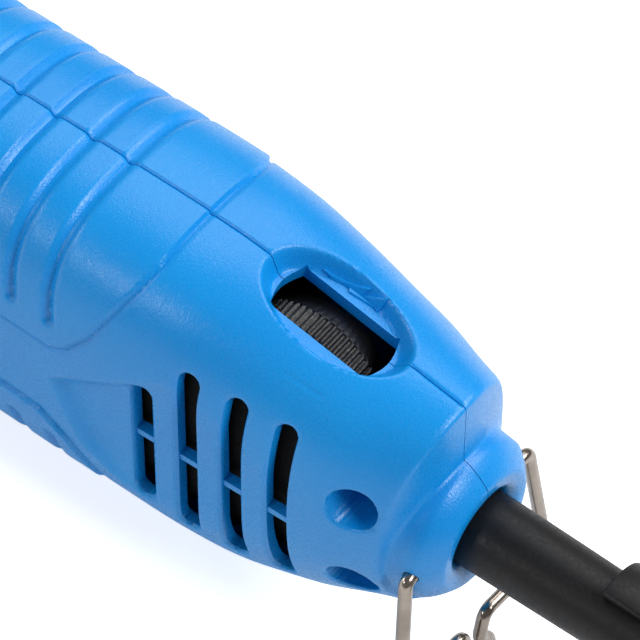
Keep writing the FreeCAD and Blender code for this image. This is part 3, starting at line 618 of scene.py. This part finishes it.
def solidBetween(name, bottom, top):
    # closed solid between two matching outlines
    n = len(bottom)
    faces = [list(range(n)), list(range(2 * n - 1, n - 1, -1))]
    faces += [(i, i + n, (i + 1) % n + n, (i + 1) % n) for i in range(n)]
    piece = meshPiece(name, list(bottom) + list(top), faces)
    fixNormals(piece)
    return piece


def prism(name, outline, y0, y1):
    # solid between two depths, from an outline in the side view
    return solidBetween(name, [(x, y0, z) for x, z in outline], [(x, y1, z) for x, z in outline])


def circle(x, z, radius, count=40):
    return [(x + radius * math.cos(2 * math.pi * i / count), z + radius * math.sin(2 * math.pi * i / count))
            for i in range(count)]


def slotOutline(spec, i):
    high, low = spec["slots"][i]
    r = spec["slotWidth"] / 2
    x = spec["slotFirst"] - i * spec["slotPitch"]
    ends = [(x + r * math.cos(a), high - r + r * math.sin(a)) for a in np.linspace(0, math.pi, 13)]
    ends += [(x - r * math.cos(a), low + r - r * math.sin(a)) for a in np.linspace(0, math.pi, 13)]
    return ends


def combine(piece, tools, how):
    for tool in tools:
        modifier = piece.modifiers.new(tool.name, "BOOLEAN")
        modifier.operation = how
        modifier.solver = "MANIFOLD"
        modifier.object = tool
        makeActive(piece)
        bpy.ops.object.modifier_apply(modifier=modifier.name)
        bpy.data.objects.remove(tool)


def joined(name, pieces):
    bpy.ops.object.select_all(action="DESELECT")
    for piece in pieces:
        piece.select_set(True)
    bpy.context.view_layer.objects.active = pieces[0]
    bpy.ops.object.join()
    pieces[0].name = name
    return pieces[0]


def windowCutter(spec):
    length, width, bulge = spec["window"]
    corners = [(length + bulge * math.sin(math.pi * t), width * (1 - 2 * t)) for t in np.linspace(0, 1, 9)]
    corners += [(-length - bulge * math.sin(math.pi * t), width * (2 * t - 1)) for t in np.linspace(0, 1, 9)]
    bottom, top = [fromDish(spec, np.array([(u, v, h) for u, v in corners])).tolist() for h in (-8.0, 2.0)]
    return solidBetween("windowCutter", bottom, top)


def boxCutter(name, low, high):
    outline = [(low[0], low[2]), (high[0], low[2]), (high[0], high[2]), (low[0], high[2])]
    return prism(name, outline, low[1], high[1])


def uprightCylinder(name, x, radius, z0, z1, count=48):
    ring = [(x + radius * math.cos(2 * math.pi * i / count), radius * math.sin(2 * math.pi * i / count))
            for i in range(count)]
    return solidBetween(name, [(u, v, z0) for u, v in ring], [(u, v, z1) for u, v in ring])


def skinReach(spec, x, z):
    # how far the plain skin is from the seam in the side view, with the bow of the tail taken back out
    unbowed = x
    for _ in range(12):
        _, top, bottom, centre, half, power = stationAt(spec, np.array([min(-1.5, unbowed)]))[0]
        tall = top - centre if z > centre else centre - bottom
        reach = half * max(0.0, 1 - (abs(z - centre) / tall) ** power) ** (1 / power)
        unbowed = x - smoothStep((unbowed - spec["bowFrom"]) / spec["bowOver"]) * tailBow(spec, reach)
    return reach


def wellBoss(spec, x, z):
    # the wall round a screw well, ending just under the skin all the way round
    boss = prism("boss", circle(x, z, spec["bossR"]), -1.2, -5.0)
    for v in boss.data.vertices:
        if v.co.y < -2.0:
            v.co.y = spec["bossUnder"] - skinReach(spec, v.co.x, v.co.z)
    return boss


def slotBar(spec, side):
    # one bar that bridges all the slots, a little under the sunk panel
    middle, halfTall, under = spec["bar"]
    face = [(x, side * (panelFloor(spec, x) - under)) for x in spec["barEnds"]]
    back = [(x, y - side * spec["barThick"]) for x, y in reversed(face)]
    ends = []
    for z in (middle - halfTall, middle + halfTall):
        ends.append([(x, y, z - spec["barSlope"]) for x, y in face] + [(x, y, z) for x, y in back])
    return solidBetween("slotBar", *ends)


def finishHousing(spec, name, near, replaced):
    side = -1.0 if near else 1.0
    piece = housingHalf(spec, name, near)
    print(name, "skin", len(piece.data.polygons))
    numbers = range(len(spec["slots"]))
    slots = [prism("slotCutter", slotOutline(spec, i), side * 12.0, side * 30.0) for i in numbers]
    combine(piece, [joined("slotCutters", slots)], "DIFFERENCE")
    combine(piece, [slotBar(spec, side)], "UNION")
    if near:
        bosses = [wellBoss(spec, x, z) for x, z in spec["wells"]]
        combine(piece, [joined("bosses", bosses)], "UNION")
        cuts = [prism("well", circle(x, z, spec["wellR"]), -spec["wellSeat"], -30.0) for x, z in spec["wells"]]
        combine(piece, [joined("wellCutters", cuts)], "DIFFERENCE")
    hangerHole = prism("holeCutter", circle(0.0, 0.0, spec["hangerHoleR"], 24), side * 5.0, side * 18.0)
    openings = [hangerHole, windowCutter(spec), boxCutter("switchCutter", *spec["switchWay"]),
                uprightCylinder("lockCutter", *spec["lockWay"])]
    combine(piece, openings, "DIFFERENCE")
    piece.data.transform(toolFromMm)
    smoothByAngle(piece, 38)
    placePiece(piece, "housing", "blue_plastic", replaced)
    print(name, "done", len(piece.data.polygons))
    return piece


housingNear = finishHousing(housingSpec, "housing_near_shell", True, "housing_left")
housingFar = finishHousing(housingSpec, "housing_far_shell", False, "housing_right")

# ---- helpers for turned and softened pieces ----


def turnedPiece(name, profile, count):
    # a ring is extruded and resized step by step along z; profile lists (height, radius)
    bpy.ops.mesh.primitive_circle_add(vertices=count, radius=profile[0][1], location=(0, 0, 0))
    piece = bpy.context.object
    piece.name = name
    bpy.ops.object.mode_set(mode="EDIT")
    bpy.ops.mesh.select_all(action="SELECT")
    bpy.ops.transform.translate(value=(0, 0, profile[0][0]))
    for (z0, r0), (z1, r1) in zip(profile, profile[1:]):
        bpy.ops.mesh.extrude_edges_move(TRANSFORM_OT_translate={"value": (0, 0, z1 - z0)})
        bpy.ops.transform.resize(value=(r1 / r0, r1 / r0, 1))
    bpy.ops.mesh.select_all(action="SELECT")
    bpy.ops.mesh.remove_doubles(threshold=0.0001)
    bpy.ops.mesh.normals_make_consistent(inside=False)
    bpy.ops.object.mode_set(mode="OBJECT")
    return piece


def bevelPiece(piece, width, degrees, segments=2):
    modifier = piece.modifiers.new("edge", "BEVEL")
    modifier.width = width
    modifier.segments = segments
    modifier.limit_method = "ANGLE"
    modifier.angle_limit = math.radians(degrees)
    modifier.use_clamp_overlap = True
    applyModifiers(piece)


def softened(node, name, width, body, slotName):
    # a copy of a frame part with its sharp edges eased, as they leave the mould or the lathe
    piece = nodes[node].copy()
    piece.data = nodes[node].data.copy()
    piece.name = name
    piece.parent = None
    for key in list(piece.keys()):
        del piece[key]
    bpy.context.scene.collection.objects.link(piece)
    makeActive(piece)
    bpy.ops.object.mode_set(mode="EDIT")
    bpy.ops.mesh.select_all(action="SELECT")
    bpy.ops.mesh.remove_doubles(threshold=0.002 * mm)
    bpy.ops.mesh.dissolve_limited(angle_limit=math.radians(1.0))
    bpy.ops.object.mode_set(mode="OBJECT")
    bevelPiece(piece, width * mm, 35)
    smoothByAngle(piece, 35)
    return placePiece(piece, body, slotName, node)


# ---- speed dial ----
dialSpec = {"at": (-26.4, 0.0, 14.4), "teeth": 60, "rim": 11.2, "toothDepth": 0.55,
            "profile": [(3.7, 4.9), (3.7, 9.0), (3.45, 9.45), (0.3, 11.0), (0.05, 11.2), (-3.3, 11.2),
                         (-3.6, 10.8),
                        (-3.7, 10.4), (-3.7, 4.9), (3.7, 4.9)]}


def makeDial(spec):
    count = spec["teeth"] * 4
    piece = turnedPiece("speed_dial_wheel", spec["profile"], count)
    mesh = piece.data
    for v in mesh.vertices:
        step = round(math.atan2(v.co.y, v.co.x) / (2 * math.pi) * count) % 4
        v.select = math.hypot(v.co.x, v.co.y) > spec["rim"] - 0.02 and step in (0, 1)
    for e in mesh.edges:
        e.select = all(mesh.vertices[i].select for i in e.vertices)
    for f in mesh.polygons:
        f.select = all(mesh.vertices[i].select for i in f.vertices)
    makeActive(piece)
    bpy.ops.object.mode_set(mode="EDIT")
    k = (spec["rim"] - spec["toothDepth"]) / spec["rim"]
    bpy.ops.transform.resize(value=(k, k, 1))    # gaps between the teeth
    bpy.ops.object.mode_set(mode="OBJECT")
    bevelPiece(piece, 0.1, 30)
    x, y, z = spec["at"]
    laid = Matrix.Rotation(math.radians(-90), 4, "X")
    piece.data.transform(toolFromMm @ Matrix.Translation((x, y, z)) @ laid)
    smoothByAngle(piece, 40)
    placePiece(piece, "dial", "black_nylon", "speed_dial")
    return piece


dial = makeDial(dialSpec)
print("dial cut", len(dial.data.polygons))

# ---- wedge in the dial recess ----
wedgeSpec = {"outline": [(-6.2, 5.3), (0.7, 6.9), (0.2, 6.2), (3.6, 6.9), (3.4, 5.7), (-1.6, 5.1), (-1.9, 5.6)],
             "middle": -0.12, "thick": 0.9}


def makeWedge(spec, housing):
    n = len(spec["outline"])
    piece = meshPiece("direction_wedge", [(u, v, 0.0) for u, v in spec["outline"]], [list(range(n))])
    makeActive(piece)
    bpy.ops.object.mode_set(mode="EDIT")
    bpy.ops.mesh.select_all(action="SELECT")
    bpy.ops.mesh.quads_convert_to_tris()
    bpy.ops.mesh.subdivide(number_cuts=5)
    bpy.ops.object.mode_set(mode="OBJECT")
    flat = np.array([v.co[:] for v in piece.data.vertices])
    height = dishHeight(housing, flat[:, 0], flat[:, 1])
    flat[:, 2] = height + spec["middle"]
    for v, place in zip(piece.data.vertices, fromDish(housing, flat)):
        v.co = place
    modifier = piece.modifiers.new("thick", "SOLIDIFY")
    modifier.thickness = spec["thick"]
    modifier.offset = 0.0
    applyModifiers(piece)
    bevelPiece(piece, 0.08, 40)
    piece.data.transform(toolFromMm)
    smoothByAngle(piece, 35)
    return placePiece(piece, "housing", "blue_plastic")


makeWedge(wedgeSpec, housingSpec)

# ---- dark sheets behind the cooling slots: painted shade that darkens the openings ----
shadeSheetSpec = {"from": -50.0, "to": -13.0, "inset": 4.4, "low": -16.5, "high": 22.5, "thick": 0.4, "behind": 3.2,
              "columns": 20, "rows": 28}


# a thin charcoal sheet set just behind the slots as painted shade, so the openings read dark
def makeShadeSheet(spec, housing, name, side):
    rows = spec["rows"]
    columns = []
    for station in stationAt(housing, np.linspace(spec["from"], spec["to"], spec["columns"])):
        ring = sectionRing(station, spec["inset"], 120)
        heights = np.linspace(spec["high"], spec["low"], rows)
        y = np.interp(heights, ring[::-1, 2], ring[::-1, 1])
        y = np.minimum(y, panelFloor(housing, station[0]) - spec["behind"])
        columns.append(np.stack([np.full(rows, station[0]), side * y, heights], axis=1))
    faces = []
    for k in range(spec["columns"] - 1):
        for j in range(k * rows, (k + 1) * rows - 1):
            faces.append((j, j + 1, j + rows + 1, j + rows))
    piece = meshPiece(name, np.concatenate(columns).tolist(), faces)
    fixNormals(piece)
    modifier = piece.modifiers.new("thick", "SOLIDIFY")
    modifier.thickness = spec["thick"]
    applyModifiers(piece)
    piece.data.transform(toolFromMm)
    smoothByAngle(piece, 30)
    # the carbon finish on this sheet is painted shade inside the slots
    return placePiece(piece, "housing", "carbon")


makeShadeSheet(shadeSheetSpec, housingSpec, "slot_shade_sheet_near", -1.0)
makeShadeSheet(shadeSheetSpec, housingSpec, "slot_shade_sheet_far", 1.0)
print("shade_sheets in")

# ---- strain relief ----
sleeveSpec = {"profile": [(-15.2, 3.4), (-15.2, 7.3), (-15.0, 7.6), (-12.8, 7.6), (-12.6, 7.4), (-12.6, 5.0),
                          (-2.7, 5.0), (-2.7, 5.95), (-2.5, 6.05), (10.0, 5.9), (24.0, 5.7), (38.0, 5.15),
                          (49.4, 4.75), (49.6, 5.3), (49.9, 5.5), (51.6, 5.4), (51.9, 5.2), (52.0, 4.9),
                          (52.0, 3.4), (-15.2, 3.4)],
              "ribFirst": 24.6, "ribPitch": 9.0, "ribLength": 7.2, "ribCount": 3, "ribR": 7.9, "ribShrink": 0.6,
              "reach": 109.0}


def ribBlock(spec, i):
    # a rounded band part-way round the sleeve, spun from its cross-section
    x = spec["ribFirst"] + i * spec["ribPitch"]
    outer = spec["ribR"] - i * spec["ribShrink"]
    section = [(x, 4.6), (x, outer - 0.55), (x + 0.18, outer - 0.16), (x + 0.6, outer),
               (x + spec["ribLength"] - 0.6, outer - 0.1), (x + spec["ribLength"] - 0.18, outer - 0.26),
               (x + spec["ribLength"], outer - 0.65), (x + spec["ribLength"], 4.6)]
    facing = 1 if i % 2 == 0 else -1
    start = math.radians(-spec["reach"])
    points = [(u, facing * r * math.cos(start), r * math.sin(start)) for u, r in section]
    piece = meshPiece("sleeveRib", points, [list(range(len(points)))])
    makeActive(piece)
    bpy.ops.object.mode_set(mode="EDIT")
    bpy.ops.mesh.select_all(action="SELECT")
    bpy.ops.mesh.spin(steps=44, dupli=False, angle=-math.radians(2 * spec["reach"]) * facing, center=(0, 0, 0),
                      axis=(1, 0, 0))
    bpy.ops.mesh.select_all(action="SELECT")
    bpy.ops.mesh.remove_doubles(threshold=0.0001)
    bpy.ops.object.mode_set(mode="OBJECT")
    work = bmesh.new()
    work.from_mesh(piece.data)
    bmesh.ops.holes_fill(work, edges=[e for e in work.edges if len(e.link_faces) == 1])
    bmesh.ops.recalc_face_normals(work, faces=work.faces)
    work.to_mesh(piece.data)
    work.free()
    bevelPiece(piece, 0.35, 50, 3)
    return piece


def makeSleeve(spec):
    tube = turnedPiece("sleeveTube", spec["profile"], 72)
    tube.data.transform(Matrix.Rotation(math.radians(90), 4, "Y"))
    fixNormals(tube)
    piece = joined("strain_relief_sleeve", [tube] + [ribBlock(spec, i) for i in range(spec["ribCount"])])
    piece.data.transform(toolFromMm)
    smoothByAngle(piece, 35)
    return placePiece(piece, "housing", "black_rubber", "strain_relief")


makeSleeve(sleeveSpec)
print("sleeve moulded")

# ---- wire hanger ----
wireSpec = {"radius": 1.05,
            "points": [(0, 6.9, 0), (0, 14.9, -0.5), (2.0, 19.0, -28.3), (1.9, 3.9, -26.9), (2.0, 2.65, -32.6),
                       (2.0, 5.5, -35.4), (2.0, 5.5, -41.0), (2.0, -3.1, -41.0), (2.0, -3.1, -35.4),
                       (2.0, -0.25, -32.6), (1.9, -1.5, -26.9), (2.0, -16.8, -28.3), (0, -13.7, 0), (0, -6.9, 0)],
            "reach": [2.6, 3.2, 3.0, 2.4, 2.2, 3.4, 3.4, 2.2, 2.4, 3.0, 3.2, 2.0]}


def wirePiece(name, path, radius, roundness):
    # a round wire along a path, as a mesh
    curve = bpy.data.curves.new(name, "CURVE")
    curve.dimensions = "3D"
    curve.bevel_depth = radius * mm
    curve.bevel_resolution = roundness
    curve.use_fill_caps = True
    curve.resolution_u = 8
    spline = curve.splines.new("NURBS")
    spline.points.add(len(path) - 1)
    for place, point in zip(spline.points, path):
        place.co = (*toolPoint(*point), 1.0)
    spline.order_u = 3
    spline.use_endpoint_u = True
    piece = bpy.data.objects.new(name, curve)
    bpy.context.scene.collection.objects.link(piece)
    makeActive(piece)
    bpy.ops.object.convert(target="MESH")
    piece = bpy.context.object
    smoothByAngle(piece, 50)
    return piece


def makeWire(spec):
    # each bend keeps a point before and after its corner, so the legs stay straight
    corners = [Vector(p) for p in spec["points"]]
    path = [corners[0]]
    for before, corner, after, reach in zip(corners, corners[1:], corners[2:], spec["reach"]):
        back = (before - corner).normalized() * reach
        on = (after - corner).normalized() * reach
        path += [corner + back, corner + back * 0.3, corner + on * 0.3, corner + on]
    path.append(corners[-1])
    piece = wirePiece("hanger_wire", path, spec["radius"], 7)
    return placePiece(piece, "hanger", "nickel_steel", "wire_hanger")


makeWire(wireSpec)
print("hanger bent")

# ---- spring under the spindle lock's button ----
springSpec = {"x": -138.0, "foot": 13.25, "tall": 2.8, "wide": 3.4, "narrow": 2.5, "turns": 2, "perTurn": 20,
              "wire": 0.3, "pressedShare": 0.12}


def makeLockSpring(spec):
    # wound as a cone, so that its turns fold into each other when the button is pressed
    steps = spec["turns"] * spec["perTurn"]
    path = []
    for i in range(steps + 1):
        share = i / steps
        around = 2 * math.pi * spec["turns"] * share
        radius = spec["wide"] + (spec["narrow"] - spec["wide"]) * share
        x = spec["x"] + radius * math.cos(around)
        path.append((x, radius * math.sin(around), spec["foot"] + spec["tall"] * share))
    piece = wirePiece("lock_spring_coils", path, spec["wire"], 3)
    placePiece(piece, "housing", "ground_steel", "lock_spring")
    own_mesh(piece)
    return piece


makeLockSpring(springSpec)
print("lock spring wound")

# ---- nose, collet nut, switch, lock, plug and cord tie: frame shapes with eased edges ----
easedParts = [("nose_cap", "nose_cap_shell", 0.25, "nose_cap", "black_nylon"),
              ("nose_ring", "nose_thread_ring", 0.15, "housing", "zinc_steel"),
              ("collet_nut", "collet_nut_knurled", 0.15, "collet_nut", "nickel_steel"),
              ("lock_button", "lock_button_cap", 0.15, "spindle_lock", "black_nylon"),
              ("switch_slider", "switch_thumb", 0.2, "switch", "black_nylon"),
              ("plug_body", "plug_shell", 0.3, "housing", "black_pvc"),
              ("plug_pins", "plug_contacts", 0.35, "housing", "nickel_steel"),
              ("cord_tie", "cord_strap", 0.25, "housing", "tie_nylon")]
eased = {node: softened(node, name, width, body, slotName) for node, name, width, body, slotName in easedParts}
print("eased parts", len(eased))

print("cord laid")

# ---- floor and lights ----
lightSpec = {"floor": "#F8F8F8", "glow": 0.65, "world": 0.2, "aim": (0, 0, 0.05), "boxes": {
    # place in metres, size, watts
    "rear_box": ((0.62, 0.0, 0.84), (0.3, 0.3), 4.8),
    "front_box": ((-0.40, -0.84, 0.52), (0.14, 0.12), 1.3),
    "low_box": ((-0.85, -0.45, 0.35), (0.4, 0.3), 1.8),
    "far_box": ((-0.46, 0.60, 1.0), (0.9, 0.7), 5.0),
    "far_rear_box": ((0.42, 0.66, 0.95), (0.6, 0.6), 7.0)}}


def makeStudio(spec):
    bpy.ops.mesh.primitive_plane_add(size=6.0, location=(0, 0, 0))
    floor = bpy.context.object
    floor.name = "studio_floor"
    paint = bpy.data.materials.new("paleStudioPaper")
    paint.use_nodes = True
    tree = paint.node_tree
    shader = tree.nodes["Principled BSDF"]
    shader.inputs["Roughness"].default_value = 0.8
    shader.inputs["Emission Color"].default_value = (1, 1, 1, 1)
    shader.inputs["Base Color"].default_value = linearHex(spec["floor"])
    # the paper is burnt out to white, but only its own lit colour falls back on the tool
    rays = addNode(tree, "ShaderNodeLightPath")
    glow = addNode(tree, "ShaderNodeMath", {"operation": "MULTIPLY", 1: spec["glow"]}, {0: rays.outputs[0]})
    tree.links.new(glow.outputs[0], shader.inputs["Emission Strength"])
    floor.data.materials.append(paint)
    world = bpy.data.worlds.new("studio")
    bpy.context.scene.world = world
    world.use_nodes = True
    world.node_tree.nodes["Background"].inputs["Color"].default_value = (1, 1, 1, 1)
    world.node_tree.nodes["Background"].inputs["Strength"].default_value = spec["world"]


def addLight(name, at, target, size, power):
    data = bpy.data.lights.new(name, "AREA")
    data.shape = "RECTANGLE"
    data.size, data.size_y = size
    data.energy = power
    lamp = bpy.data.objects.new(name, data)
    bpy.context.scene.collection.objects.link(lamp)
    lamp.location = at
    lamp.rotation_euler = (Vector(target) - Vector(at)).to_track_quat("-Z", "Y").to_euler()
    return lamp


makeStudio(lightSpec)
for name, (at, size, power) in lightSpec["boxes"].items():
    addLight(name, at, lightSpec["aim"], size, power)
print("studio lit")
